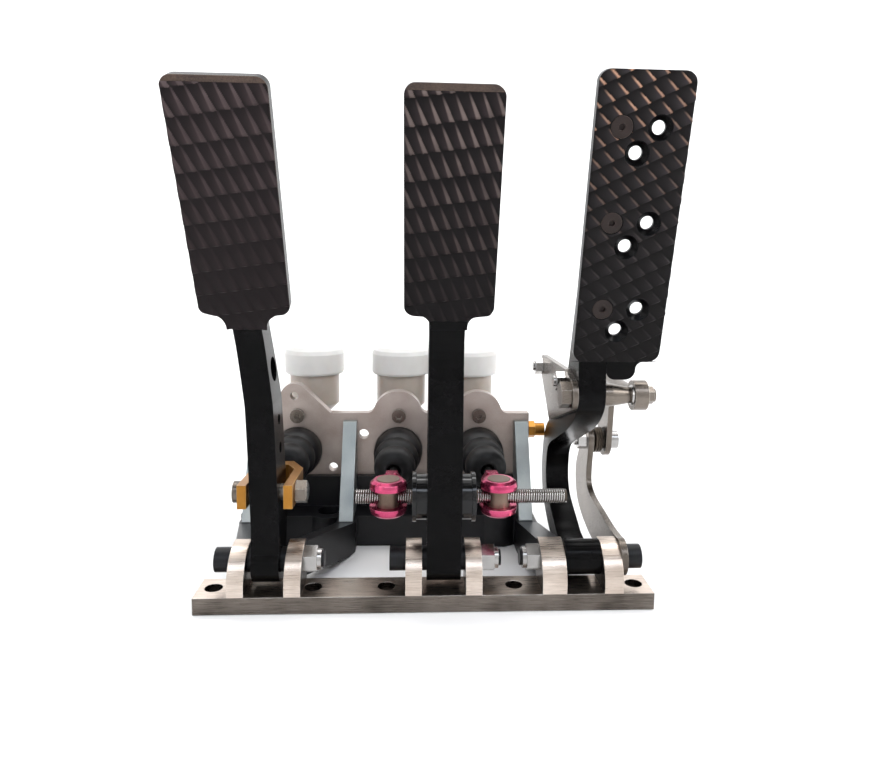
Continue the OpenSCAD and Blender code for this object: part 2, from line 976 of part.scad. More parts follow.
// Link rod with an eye at each end
module throttle_link() {
  d = link_end - stud;
  u = d / norm(d);
  color([0.66, 0.64, 0.62])
    difference() {
      union() {
        across(link_x - 5, 10, 11, stud);
        across(link_x - 5, 10, 10, link_end);
        translate([link_x, stud[0] + 9 * u[0], stud[1] + 9 * u[1]])
          rotate([atan2(u[1], u[0]) - 90, 0, 0])
            cylinder(r = 4.5, h = norm(d) - 17);
      }
      translate([link_x, stud[0], stud[1]])
        sphere(r = 9 + run_gap, $fn = 64);
      across(link_x - 10, 20, 4.7, link_end);
    }
}

// Side bracket that carries the bellcrank behind the throttle
module upright() {
  color([0.58, 0.56, 0.54])
    difference() {
      union() {
        side(upright_x, upright_t)
          polygon(concat(
            curve([[5, 45.5], [30, 45], [58, 47], [88, 49.5], [103, 56], [105, 68], [103, 80], [100.2, 94]]),
            curve([[123.8, 94], [136, 78], [146, 56], [134, 30], [95, 17], [50, 15], [5, 18.5]])));
        across(upright_x, upright_t, 14, pivot);
        across(upright_x, upright_t, 12, crank);
      }
      across(upright_x - 5, 20, bolt_r + run_gap, pivot);
      across(upright_x - 5, 20, 5, crank);
    }
}

module bellcrank() {
  color([0.6, 0.55, 0.5])
    difference() {
      union() {
        side(crank_x, 5) {
          strap(crank, crank_end, 14, 10);
          strap(crank, crank_hole, 14, 9);
          polygon([crank_end, crank_hole, crank]);
        }
        across(upright_x + upright_t + 0.4, 12, 8, crank);
      }
      across(upright_x, 40, 5 + run_gap, crank);
      across(crank_x - 5, 20, 4, crank_end);
      across(crank_x - 5, 20, 3.2, crank_hole);
    }
}

module bellcrank_pin() {
  color([0.74, 0.74, 0.75]) {
    across(link_x - 7, crank_x + 9 - link_x + 7, 4, crank_end);
    across(crank_x + 5, 5, 7, crank_end, 6);
    across(link_x - 9, 3, 6.5, crank_end);
  }
}

module bellcrank_bolt() {
  color([0.72, 0.72, 0.73]) {
    across(upright_x - 11, crank_x + 5.4 - upright_x + 11, 5, crank);
    across(crank_x + 5.4, 8, 8, crank);
    across(upright_x - 8, 8, 8.6, crank, 6);
  }
}

// Torsion return spring on the bellcrank boss
module throttle_spring() {
  color([0.22, 0.2, 0.18])
    translate([upright_x + upright_t + 1, crank[0], crank[1]])
      rotate([0, 90, 0])
        rotate_extrude()
          for (i = [0 : 2])
            translate([10.2, 1.6 + 2.8 * i])
              circle(1.5, $fn = 32);
}

module side_stud() {
  color([0.82, 0.6, 0.16])
    translate([plate_right, plate_y + plate_t / 2, 96.5])
      rotate([0, 90, 0])
        union() {
          translate([0, 0, -12])
            cylinder(r = 4, h = 14);
          cylinder(r = 8, h = 6, $fn = 6);
          translate([0, 0, 5])
            cylinder(r = 6, h = 10);
        }
}

base_bar();
rear_frame();
mount_plate();
gusset_left();
gusset_middle();
gusset_right();
clutch_pivot_bolt();
brake_pivot_bolt();
throttle_pivot_bolt();
pivot_nuts();
clutch_cylinder();
front_cylinder();
rear_cylinder();
clutch_reservoir();
front_reservoir();
rear_reservoir();
clutch_cap();
front_cap();
rear_cap();
flange_screws();
clutch_boot();
front_boot();
rear_boot();
clutch_piston();
front_piston();
rear_piston();
clutch_arm();
clutch_pad();
clutch_bush();
clutch_clevis_pin();
clutch_clevis();
clutch_pushrod();
brake_arm();
brake_pad();
brake_bush();
balance_sleeve();
balance_bearing();
balance_bar();
front_clevis();
rear_clevis();
front_trunnion();
rear_trunnion();
front_pushrod();
rear_pushrod();
throttle_arm();
throttle_pad();
pad_screws();
throttle_bush();
cable_lever();
lever_studs();
stud_bolt();
cone_spacer();
stud_ball();
throttle_link();
upright();
bellcrank();
bellcrank_pin();
bellcrank_bolt();
throttle_spring();
side_stud();
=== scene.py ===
import math
import bmesh
import bpy
from mathutils import Matrix, Vector


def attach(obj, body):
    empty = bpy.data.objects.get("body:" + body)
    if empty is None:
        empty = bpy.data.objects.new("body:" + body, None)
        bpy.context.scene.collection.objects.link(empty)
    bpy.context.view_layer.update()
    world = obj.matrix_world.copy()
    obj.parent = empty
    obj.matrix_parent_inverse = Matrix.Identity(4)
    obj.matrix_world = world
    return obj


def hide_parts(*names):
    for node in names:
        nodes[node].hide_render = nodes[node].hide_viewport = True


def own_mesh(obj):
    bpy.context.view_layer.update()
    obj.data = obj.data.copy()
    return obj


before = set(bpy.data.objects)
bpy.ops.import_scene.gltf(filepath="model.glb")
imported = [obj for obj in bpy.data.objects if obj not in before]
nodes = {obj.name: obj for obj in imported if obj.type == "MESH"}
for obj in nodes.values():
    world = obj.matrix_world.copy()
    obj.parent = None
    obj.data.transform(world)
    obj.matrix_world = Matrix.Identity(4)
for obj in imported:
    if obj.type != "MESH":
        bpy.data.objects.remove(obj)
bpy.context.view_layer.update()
mm = 0.001
print("frame loaded:", len(nodes), "nodes")


def linear(hexCode):
    # an sRGB hex value as a linear colour
    parts = [int(hexCode[i:i + 2], 16) / 255 for i in (1, 3, 5)]
    return tuple(c / 12.92 if c <= 0.04045 else ((c + 0.055) / 1.055) ** 2.4 for c in parts) + (1.0,)


def addNode(tree, kind, inputs=None, **settings):
    node = tree.nodes.new(kind)
    for name, value in settings.items():
        setattr(node, name, value)
    for key, value in (inputs or {}).items():
        if isinstance(value, bpy.types.NodeSocket):
            tree.links.new(value, node.inputs[key])
        else:
            node.inputs[key].default_value = value
    return node


def perMetre(sizeInMm):
    return 1000 / sizeInMm  # a texture scale from a real size


def surface(name, finish):
    # a new material with its shader's fixed values, and object coordinates for its patterns
    material = bpy.data.materials.new(name)
    material.use_nodes = True
    tree = material.node_tree
    tree.nodes.clear()
    coords = addNode(tree, "ShaderNodeTexCoord").outputs["Object"]
    shader = addNode(tree, "ShaderNodeBsdfPrincipled", finish)
    addNode(tree, "ShaderNodeOutputMaterial", {"Surface": shader.outputs[0]})
    return material, tree, coords, shader


cloudSize = 28  # mm, slow changes of tone over a metal piece
reliefDepth = 0.1  # mm, depth of the finest relief on every finish


def metalFinish(name, dark, light, grain, stretch=(1, 1, 1), metallic=1.0, rough=(0.3, 0.45),
                bump=0.1, edgeWearAndHighlight=None, edgeWidth=0.5, specular=0.5):
    # grain and streaks of a worked metal; where a colour is given for them, the edges are painted paler,
    # partly as wear and partly as a painted highlight
    fixed = {"Metallic": metallic, "Specular IOR Level": specular}
    material, tree, coords, shader = surface(name, fixed)
    spread = addNode(tree, "ShaderNodeMapping", {"Vector": coords, "Scale": stretch})
    streaks = addNode(tree, "ShaderNodeTexNoise", {"Vector": spread.outputs[0], "Scale": perMetre(grain),
                                                   "Detail": 4.0, "Roughness": 0.6}).outputs["Fac"]
    cloud = addNode(tree, "ShaderNodeTexNoise", {"Vector": coords, "Scale": perMetre(cloudSize),
                                                 "Detail": 2.0}).outputs["Fac"]
    both = addNode(tree, "ShaderNodeMath", {0: streaks, 1: cloud}, operation="ADD")
    tone = addNode(tree, "ShaderNodeMapRange", {"Value": both.outputs[0], "From Min": 0.7,
                                                "From Max": 1.3}).outputs[0]
    colour = addNode(tree, "ShaderNodeMix", {"Factor": tone, "A": linear(dark), "B": linear(light)},
                     data_type="RGBA").outputs["Result"]
    soft = addNode(tree, "ShaderNodeBevel", {"Radius": edgeWidth * mm}, samples=4).outputs[0]
    # edges painted paler: wear, and a painted highlight along them
    if edgeWearAndHighlight:
        flat = addNode(tree, "ShaderNodeNewGeometry").outputs["Normal"]
        turn = addNode(tree, "ShaderNodeVectorMath", {0: soft, 1: flat}, operation="DOT_PRODUCT")
        wearAndHighlight = addNode(tree, "ShaderNodeMapRange", {"Value": turn.outputs["Value"], "From Min": 0.995,
                                                    "From Max": 0.9, "To Max": 0.8})
        rubAndHighlight = addNode(tree, "ShaderNodeMath", {0: wearAndHighlight.outputs[0], 1: tone}, operation="MULTIPLY")
        colour = addNode(tree, "ShaderNodeMix", {"Factor": rubAndHighlight.outputs[0], "A": colour, "B": linear(edgeWearAndHighlight)},
                         data_type="RGBA").outputs["Result"]
    tree.links.new(colour, shader.inputs["Base Color"])
    gloss = addNode(tree, "ShaderNodeMapRange", {"Value": streaks, "From Min": 0.3, "From Max": 0.7,
                                                 "To Min": rough[0], "To Max": rough[1]})
    tree.links.new(gloss.outputs[0], shader.inputs["Roughness"])
    relief = addNode(tree, "ShaderNodeBump", {"Height": streaks, "Strength": bump,
                                              "Distance": reliefDepth * mm, "Normal": soft})
    tree.links.new(relief.outputs[0], shader.inputs["Normal"])
    return material


# milled bar stock: fine lines across the bar, a warm grey face, and bright edges that are partly burrs and
# partly a painted highlight
millingLines = {"grain": 0.7, "stretch": (0.04, 1, 1)}
milledAluminium = metalFinish("milled aluminium", "#4b4540", "#7a726b", rough=(0.22, 0.36), bump=0.35,
                              edgeWearAndHighlight="#f4f1ec", edgeWidth=0.7, **millingLines)
# fresh cuts on the lugs and the bar's top: bright, with the cutter's fine lines; their warm tan is partly a
# painted reflection
cutAluminiumWithPaintedReflection = metalFinish("freshly cut aluminium with painted reflection", "#b3a498", "#dccfc4", rough=(0.24, 0.36), bump=0.4,
                           edgeWearAndHighlight="#f4f1ec", edgeWidth=0.6, **millingLines)
# anodised and sealed: an even charcoal with a soft sheen, greyer on the edges from wear and from a painted
# highlight
blackAnodised = metalFinish("black anodised aluminium", "#0d0d0f", "#1a1a1d", 0.5, metallic=0.1,
                            rough=(0.3, 0.45), bump=0.06, edgeWearAndHighlight="#46474c", specular=0.35)
# bead blasted: an even warm grey with no direction in it, and pale edges
blastedAluminium = metalFinish("blasted aluminium", "#988a82", "#bcb1ab", 0.45, metallic=0.85,
                               rough=(0.36, 0.5), bump=0.18, edgeWearAndHighlight="#e6e8ec", edgeWidth=0.6)
# sawn plate: a cool pale grey, duller than the bar
sawnAluminium = metalFinish("sawn aluminium", "#8a9293", "#aeb2b1", 0.4, metallic=0.8, rough=(0.4, 0.52),
                            bump=0.15, edgeWearAndHighlight="#dfe6e8", edgeWidth=0.6)
# satin anodising on the pedals: nearly black, with a faint sheen and thin grey edges
pedalAnodised = metalFinish("satin black anodised pedal", "#040404", "#080708", 0.6, metallic=0.0,
                            rough=(0.16, 0.28), bump=0.04, edgeWearAndHighlight="#343439", specular=0.07)
# the pads' top strip and bevel: black gone to a bronze colour, partly shoe wear and partly a painted warm
# sheen
rubbedAndSheenAnodised = metalFinish("shoe-worn anodised aluminium with painted sheen", "#241e1e", "#57463c", 0.8, metallic=0.2,
                             rough=(0.3, 0.45), bump=0.06, edgeWearAndHighlight="#8f7460", specular=0.3)
# oil blacked bolts and bushes: soft black, with grey on the corners
blackOxide = metalFinish("black oxide steel", "#0c0c0e", "#18181b", 0.3, metallic=0.3, rough=(0.32, 0.45),
                         bump=0.08, edgeWearAndHighlight="#45464a", edgeWidth=0.4, specular=0.3)
# the pad screws keep a brown cast from their oxide
brownOxide = metalFinish("brown oxide steel", "#221b19", "#312724", 0.3, metallic=0.4, rough=(0.35, 0.5),
                         bump=0.08, edgeWearAndHighlight="#6b5c54", edgeWidth=0.4, specular=0.3)
# plated rods and fasteners: nearly a mirror, slightly clouded
zincPlate = metalFinish("bright zinc plate", "#93918f", "#bcbab8", 0.4, rough=(0.14, 0.28), bump=0.05,
                        edgeWearAndHighlight="#f2f2f2", edgeWidth=0.4)
# machined cylinders: bright silver with faint lines along them
turnedCylinder = metalFinish("turned aluminium", "#94959a", "#b5b6ba", 0.35, stretch=(1, 0.2, 1),
                             rough=(0.25, 0.38), bump=0.12)
# dyed anodising: deep gold over metal, pale on the edges
goldAnodised = metalFinish("gold anodised aluminium", "#85591f", "#ab7733", 0.5, metallic=0.85,
                           rough=(0.28, 0.4), bump=0.06, edgeWearAndHighlight="#f0cf8d", edgeWidth=0.6)
# dyed over a polish: deep rose with sharp highlights
roseAnodised = metalFinish("rose anodised aluminium", "#a53157", "#cf587c", 0.6, metallic=0.9,
                           rough=(0.16, 0.28), bump=0.04, edgeWearAndHighlight="#eaa6b4", edgeWidth=0.7)
# polished, then blacked: a dark mirror with bright rims
polishedBlack = metalFinish("polished black steel", "#050506", "#0b0b0d", 0.8, metallic=0.3,
                            rough=(0.06, 0.14), bump=0.02, edgeWearAndHighlight="#5a5a5f", edgeWidth=0.6)
# brushed plate and bar: warm grey with fine lines along its length
stainless = metalFinish("brushed stainless steel", "#57504a", "#7c746c", 0.35, stretch=(1, 0.08, 1),
                        rough=(0.22, 0.36), bump=0.1, edgeWearAndHighlight="#efeae2")
# phosphated barrels: a dull brown grey
phosphated = metalFinish("phosphated steel", "#5b4c42", "#7f6d60", 0.4, metallic=0.8, rough=(0.35, 0.5))
# drawn and tempered wire: dark bronze grey and smooth
springSteel = metalFinish("spring steel", "#3d362f", "#5d544a", 0.4, metallic=0.9, rough=(0.3, 0.42),
                          bump=0.06)


def mouldedRubber():
    # soft black with a patchy dusty bloom
    material, tree, coords, shader = surface("moulded rubber", {"Specular IOR Level": 0.22})
    dust = addNode(tree, "ShaderNodeTexNoise", {"Vector": coords, "Scale": perMetre(6),
                                                "Detail": 5.0}).outputs["Fac"]
    fade = addNode(tree, "ShaderNodeMapRange", {"Value": dust, "From Min": 0.42, "From Max": 0.7})
    colour = addNode(tree, "ShaderNodeMix", {"Factor": fade.outputs[0], "A": linear("#0c0c0d"),
                                             "B": linear("#19191b")}, data_type="RGBA")
    tree.links.new(colour.outputs["Result"], shader.inputs["Base Color"])
    rough = addNode(tree, "ShaderNodeMapRange", {"Value": dust, "To Min": 0.34, "To Max": 0.52})
    tree.links.new(rough.outputs[0], shader.inputs["Roughness"])
    pores = addNode(tree, "ShaderNodeTexNoise", {"Vector": coords, "Scale": perMetre(0.5)})
    relief = addNode(tree, "ShaderNodeBump", {"Height": pores.outputs["Fac"], "Strength": 0.08,
                                              "Distance": reliefDepth * mm})
    tree.links.new(relief.outputs[0], shader.inputs["Normal"])
    return material


def mouldedPlastic(name, low, high, fixed):
    # milky moulded plastic with faint flow marks and soft edges
    material, tree, coords, shader = surface(name, fixed)
    flow = addNode(tree, "ShaderNodeTexNoise", {"Vector": coords, "Scale": perMetre(14),
                                                "Detail": 3.0}).outputs["Fac"]
    colour = addNode(tree, "ShaderNodeMix", {"Factor": flow, "A": linear(low), "B": linear(high)},
                     data_type="RGBA")
    tree.links.new(colour.outputs["Result"], shader.inputs["Base Color"])
    rough = addNode(tree, "ShaderNodeMapRange", {"Value": flow, "To Min": 0.28, "To Max": 0.42})
    tree.links.new(rough.outputs[0], shader.inputs["Roughness"])
    soft = addNode(tree, "ShaderNodeBevel", {"Radius": 0.8 * mm}, samples=4)
    grain = addNode(tree, "ShaderNodeTexNoise", {"Vector": coords, "Scale": perMetre(0.6)})
    relief = addNode(tree, "ShaderNodeBump", {"Height": grain.outputs["Fac"], "Strength": 0.05,
                                              "Distance": reliefDepth * mm, "Normal": soft.outputs[0]})
    tree.links.new(relief.outputs[0], shader.inputs["Normal"])
    return material


def scaledPad(name, shadedValley, litFlank, facet):
    # black anodising: painted shade darkens the valleys, painted light greys the flanks towards the pad's
    # top, and the facets are brown metal with a painted highlight
    material, tree, coords, shader = surface(name, {"Metallic": 0.0, "Specular IOR Level": 0.1})
    wearAndHighlight = addNode(tree, "ShaderNodeAttribute", attribute_name="wearAndHighlight").outputs["Fac"]
    rise = addNode(tree, "ShaderNodeAttribute", attribute_name="litFlank").outputs["Fac"]
    grain = addNode(tree, "ShaderNodeTexNoise", {"Vector": coords, "Scale": perMetre(0.8),
                                                 "Detail": 4.0}).outputs["Fac"]
    cloud = addNode(tree, "ShaderNodeTexNoise", {"Vector": coords, "Scale": perMetre(22), "Detail": 3.0})
    patchy = addNode(tree, "ShaderNodeMapRange", {"Value": cloud.outputs["Fac"], "From Min": 0.35,
                                                  "From Max": 0.65, "To Min": 0.5, "To Max": 1.0})
    mixed = addNode(tree, "ShaderNodeMath", {0: wearAndHighlight, 1: patchy.outputs[0]}, operation="MULTIPLY")
    shadeToLight = addNode(tree, "ShaderNodeMix", {"Factor": rise, "A": linear(shadedValley), "B": linear(litFlank)},
                     data_type="RGBA")
    colour = addNode(tree, "ShaderNodeMix", {"Factor": mixed.outputs[0], "A": shadeToLight.outputs["Result"],
                                             "B": linear(facet)}, data_type="RGBA")
    tree.links.new(colour.outputs["Result"], shader.inputs["Base Color"])
    rough = addNode(tree, "ShaderNodeMapRange", {"Value": grain, "To Min": 0.32, "To Max": 0.5})
    tree.links.new(rough.outputs[0], shader.inputs["Roughness"])
    relief = addNode(tree, "ShaderNodeBump", {"Height": grain, "Strength": 0.1,
                                              "Distance": reliefDepth * mm})
    tree.links.new(relief.outputs[0], shader.inputs["Normal"])
    return material


rubber = mouldedRubber()
# the pots let some light in, and look warm grey
potPlastic = mouldedPlastic("translucent polypropylene", "#a8978d", "#bfaea4",
                            {"Transmission Weight": 0.15, "Subsurface Weight": 0.2})
# the caps are solid white with a soft glow
capPlastic = mouldedPlastic("white polypropylene", "#bfbbb8", "#d0ccc9", {"Subsurface Weight": 0.1})
# machined, anodised pads: the clutch has dull grey facets, the brake browner ones, the throttle bright tan;
# the pale facets are partly a painted highlight
padDull = scaledPad("dull machined pad", "#161112", "#3f3435", "#564a4a")
padBlack = scaledPad("machined pad", "#0c090a", "#372e2f", "#6b5e5a")
padTan = scaledPad("bright machined pad", "#0c0a0a", "#3b3638", "#e0ab8b")
print("materials made")

dressed = {
    milledAluminium: ["base_bar"],
    blackAnodised: ["rear_frame"],
    blastedAluminium: ["mount_plate"],
    sawnAluminium: ["gusset_left", "gusset_middle", "gusset_right"],
    blackOxide: ["clutch_pivot_bolt", "brake_pivot_bolt", "throttle_pivot_bolt", "clutch_bush",
                 "brake_bush", "throttle_bush"],
    brownOxide: ["pad_screws"],
    zincPlate: ["pivot_nuts", "clutch_pushrod", "front_pushrod", "rear_pushrod", "balance_bearing",
                "balance_bar", "lever_studs", "stud_ball", "bellcrank_pin", "bellcrank_bolt"],
    turnedCylinder: ["clutch_cylinder", "front_cylinder", "rear_cylinder", "clutch_piston",
                     "front_piston", "rear_piston"],
    potPlastic: ["clutch_reservoir", "front_reservoir", "rear_reservoir"],
    capPlastic: ["clutch_cap", "front_cap", "rear_cap"],
    rubber: ["clutch_boot", "front_boot", "rear_boot"],
    pedalAnodised: ["clutch_arm", "brake_arm", "throttle_arm", "clutch_pad", "brake_pad", "throttle_pad"],
    goldAnodised: ["clutch_clevis", "side_stud"],
    roseAnodised: ["front_clevis", "rear_clevis"],
    polishedBlack: ["balance_sleeve"],
    phosphated: ["front_trunnion", "rear_trunnion"],
    stainless: ["flange_screws", "clutch_clevis_pin", "cable_lever", "stud_bolt", "cone_spacer",
                "throttle_link", "upright", "bellcrank"],
    springSteel: ["throttle_spring"],
}
for material, names in dressed.items():
    for name in names:
        nodes[name].data.materials.clear()
        nodes[name].data.materials.append(material)

# above its top the bar is freshly cut, apart from faces that look sideways; the paler, warmer finish there
# is partly a painted reflection
barSkin = {"top": 12.0, "sideways": 0.5}
bar = nodes["base_bar"].data
bar.materials.append(cutAluminiumWithPaintedReflection)
for face in bar.polygons:
    if face.center.z > barSkin["top"] * mm and abs(face.normal.x) < barSkin["sideways"]:
        face.material_index = 1

# the strip along the clutch pad's top and the bevel along the brake pad's take the bronze finish: shoe wear,
# and a painted warm reflection
rubbedAndSheenPads = [{"node": "clutch_pad", "lean": 24.2, "facing": 0.2, "rise": -1.0},
              {"node": "brake_pad", "lean": 18.4, "facing": 0.2, "rise": 0.2}]
for strip in rubbedAndSheenPads:
    turn = Matrix.Rotation(math.radians(strip["lean"]), 3, "X")
    front = turn @ Vector((0, -1, 0))
    top = turn @ Vector((0, 0, 1))
    pad = nodes[strip["node"]].data
    pad.materials.append(rubbedAndSheenAnodised)
    for face in pad.polygons:
        if face.normal.dot(front) > strip["facing"] and face.normal.dot(top) > strip["rise"]:
            face.material_index = 1

# the brake forks' necks are rose as far back as the nut on each rod
neckEnd = 51.5
for name in ("front_pushrod", "rear_pushrod"):
    rod = nodes[name].data
    rod.materials.append(roseAnodised)
    for face in rod.polygons:
        if face.center.y < neckEnd * mm:
            face.material_index = 1
print("finishes laid on the CAD nodes")


def pieceFromMesh(name, mesh, body):
    piece = bpy.data.objects.new(name, mesh)
    bpy.context.scene.collection.objects.link(piece)
    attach(piece, body)
    return piece


def inputId(tree, label):
    return next(item.identifier for item in tree.interface.items_tree
                if item.item_type == "SOCKET" and item.in_out == "INPUT" and item.name == label)


def runTree(mesh, tree, values):
    # the finished mesh of a node tree on a start mesh
    carrier = bpy.data.objects.new("carrier", mesh)
    bpy.context.scene.collection.objects.link(carrier)
    modifier = carrier.modifiers.new("shape", "NODES")
    modifier.node_group = tree
    for label, value in values.items():
        modifier[inputId(tree, label)] = value
    evaluated = carrier.evaluated_get(bpy.context.evaluated_depsgraph_get())
    made = bpy.data.meshes.new_from_object(evaluated)
    carrier.modifiers.remove(modifier)
    bpy.data.objects.remove(carrier)
    return made


def newTree(name, sockets):
    tree = bpy.data.node_groups.new(name, "GeometryNodeTree")
    tree.interface.new_socket("Geometry", in_out="INPUT", socket_type="NodeSocketGeometry")
    for label, kind in sockets:
        tree.interface.new_socket(label, in_out="INPUT", socket_type=kind)
    tree.interface.new_socket("Geometry", in_out="OUTPUT", socket_type="NodeSocketGeometry")
    return tree, addNode(tree, "NodeGroupInput")


def scaleTree():
    # tiled scales: each has one narrow facet that starts at a point and widens to its lower tip
    number = "NodeSocketFloat"
    labels = ("Row", "Column", "Slant", "Climb", "Lift", "Drift", "Depth", "Facet", "Reach", "Height",
              "Fade", "Half", "Steep")
    sockets = [(label, number) for label in labels] + [("Finish", "NodeSocketMaterial")]
    tree, given = newTree("pad scales", sockets)
    size = given.outputs
    kind = "ShaderNodeMath"
    pointed = 0.06  # a facet's least width, in columns
    lip = 12.0  # how steeply a scale's lower edge rises
    blur = 0.07  # how softly the facet's paler metal starts beside it, in columns
    fullWearAndHighlight = 2.2  # above 1, so that the lower part of a facet is wholly uncoated and lit
    paintedLightAtFoot = 0.12  # painted light left at the foot of a pad
    position = addNode(tree, "GeometryNodeInputPosition").outputs[0]
    place = addNode(tree, "ShaderNodeSeparateXYZ", {0: position})
    across, up = place.outputs["X"], place.outputs["Z"]
    drop = addNode(tree, kind, {0: across, 1: size["Climb"], 2: size["Lift"]}, operation="MULTIPLY_ADD")
    climbed = addNode(tree, kind, {0: up, 1: drop.outputs[0]}, operation="SUBTRACT")
    rows = addNode(tree, kind, {0: climbed.outputs[0], 1: size["Row"]}, operation="DIVIDE")
    rowPart = addNode(tree, kind, {0: rows.outputs[0]}, operation="FRACT").outputs[0]
    rowCount = addNode(tree, kind, {0: rows.outputs[0]}, operation="FLOOR")
    drifted = addNode(tree, kind, {0: rowCount.outputs[0], 1: size["Drift"], 2: across},
                      operation="MULTIPLY_ADD")
    risen = addNode(tree, kind, {0: rowPart, 1: size["Row"]}, operation="MULTIPLY")
    leaned = addNode(tree, kind, {0: risen.outputs[0], 1: size["Slant"], 2: drifted.outputs[0]},
                     operation="MULTIPLY_ADD")
    columns = addNode(tree, kind, {0: leaned.outputs[0], 1: size["Column"]}, operation="DIVIDE")
    columnPart = addNode(tree, kind, {0: columns.outputs[0]}, operation="FRACT").outputs[0]
    width = addNode(tree, "ShaderNodeMapRange", {"Value": rowPart, "From Max": size["Reach"],
                                                 "To Min": size["Facet"], "To Max": pointed}).outputs[0]
    crest = addNode(tree, kind, {0: 1.0, 1: width}, operation="SUBTRACT").outputs[0]
    rising = addNode(tree, kind, {0: columnPart, 1: crest}, operation="DIVIDE")
    left = addNode(tree, kind, {0: 1.0, 1: columnPart}, operation="SUBTRACT")
    falling = addNode(tree, kind, {0: left.outputs[0], 1: width}, operation="DIVIDE")
    ridge = addNode(tree, kind, {0: rising.outputs[0], 1: falling.outputs[0]}, operation="MINIMUM")
    tip = addNode(tree, kind, {0: 1.0, 1: rowPart}, operation="SUBTRACT")
    steep = addNode(tree, kind, {0: rowPart, 1: lip}, operation="MULTIPLY")
    step = addNode(tree, kind, {0: tip.outputs[0], 1: steep.outputs[0]}, operation="MINIMUM")
    shape = addNode(tree, kind, {0: ridge.outputs[0], 1: step.outputs[0]}, operation="MULTIPLY").outputs[0]
    height = addNode(tree, kind, {0: shape, 1: size["Depth"]}, operation="MULTIPLY")
    front = addNode(tree, kind, {0: height.outputs[0], 1: -1.0}, operation="MULTIPLY")
    shift = addNode(tree, "ShaderNodeCombineXYZ", {"Y": front.outputs[0]})
    raised = addNode(tree, "GeometryNodeSetPosition", {"Geometry": size["Geometry"],
                                                       "Offset": shift.outputs[0]})
    # the facets are painted paler: uncoated metal, with a painted highlight that grows towards the top of
    # the pad as painted light from above, and paler towards its left side
    before = addNode(tree, kind, {0: crest, 1: blur}, operation="SUBTRACT")
    onFacet = addNode(tree, "ShaderNodeMapRange", {"Value": columnPart, "From Min": before.outputs[0],
                                                   "From Max": crest})
    fade = addNode(tree, "ShaderNodeMapRange", {"Value": rowPart, "From Max": size["Reach"],
                                                "To Min": fullWearAndHighlight, "To Max": 0.0})
    capped = addNode(tree, kind, {0: fade.outputs[0], 1: 1.0}, operation="MINIMUM")
    facet = addNode(tree, kind, {0: onFacet.outputs[0], 1: capped.outputs[0]}, operation="MULTIPLY")
    paintedTopLight = addNode(tree, "ShaderNodeMapRange", {"Value": up, "From Max": size["Height"],
                                                  "To Min": paintedLightAtFoot, "To Max": 1.0}).outputs[0]
    steeper = addNode(tree, kind, {0: paintedTopLight, 1: size["Steep"]}, operation="POWER")
    kept = addNode(tree, kind, {0: 1.0, 1: size["Fade"]}, operation="SUBTRACT")
    leftEdge = addNode(tree, kind, {0: size["Half"], 1: -1.0}, operation="MULTIPLY")
    sided = addNode(tree, "ShaderNodeMapRange", {"Value": across, "From Min": leftEdge.outputs[0],
                                                 "From Max": size["Half"], "To Min": 1.0,
                                                 "To Max": kept.outputs[0]})
    corner = addNode(tree, kind, {0: steeper.outputs[0], 1: sided.outputs[0]}, operation="MULTIPLY")
    bareAndLit = addNode(tree, kind, {0: facet.outputs[0], 1: corner.outputs[0]}, operation="MULTIPLY")
    wearAndHighlight = addNode(tree, "GeometryNodeStoreNamedAttribute", {"Geometry": raised.outputs[0], "Name": "wearAndHighlight",
                                                             "Value": bareAndLit.outputs[0]}, domain="POINT")
    # painted light and shade: the scales' raised flanks turn paler towards the top of the pad, and their
    # valleys stay dark
    lit = addNode(tree, kind, {0: shape, 1: paintedTopLight}, operation="MULTIPLY")
    litFlank = addNode(tree, "GeometryNodeStoreNamedAttribute", {"Geometry": wearAndHighlight.outputs[0], "Name": "litFlank",
                                                              "Value": lit.outputs[0]}, domain="POINT")
    whole = addNode(tree, "GeometryNodeRealizeInstances", {"Geometry": litFlank.outputs[0]})
    painted = addNode(tree, "GeometryNodeSetMaterial", {"Geometry": whole.outputs[0],
                                                        "Material": size["Finish"]})
    addNode(tree, "NodeGroupOutput", {"Geometry": painted.outputs[0]})
    return tree


def padFace(edges, low, high, cell, holes):
    # grid over a pad outline given by its left and right edges at each height
    rows = int((high - low) / cell)
    middleLeft, middleRight = edges((low + high) / 2)
    columns = int((middleRight - middleLeft) / cell)
    work = bmesh.new()
    grid = []
    for i in range(rows + 1):
        up = low + (high - low) * i / rows
        left, right = edges(up)
        spots = [left + (right - left) * j / columns for j in range(columns + 1)]
        grid.append([work.verts.new((spot, 0, up)) for spot in spots])
    for i in range(rows):
        for j in range(columns):
            work.faces.new((grid[i][j], grid[i][j + 1], grid[i + 1][j + 1], grid[i + 1][j]))
    for x, z, radius in holes:
        inside = {v for v in work.verts if math.hypot(v.co.x - x, v.co.z - z) < radius}
        covered = [f for f in work.faces if all(v in inside for v in f.verts)]
        bmesh.ops.delete(work, geom=covered, context="FACES")
        for v in inside:
            if v.is_valid:
                away = Vector((v.co.x - x, 0, v.co.z - z)).normalized() * radius
                v.co = Vector((x, 0, z)) + away
    made = bpy.data.meshes.new("pad face")
    work.to_mesh(made)
    work.free()
    return made


def skirt(mesh, back):
    # closes a raised face down into the pad below it
    work = bmesh.new()
    work.from_mesh(mesh)
    rim = [e for e in work.edges if e.is_boundary]
    made = bmesh.ops.extrude_edge_only(work, edges=rim)
    for v in (g for g in made["geom"] if isinstance(g, bmesh.types.BMVert)):
        v.co.y = back
    bmesh.ops.recalc_face_normals(work, faces=work.faces)
    for face in work.faces:
        face.smooth = True
    work.to_mesh(mesh)
    work.free()


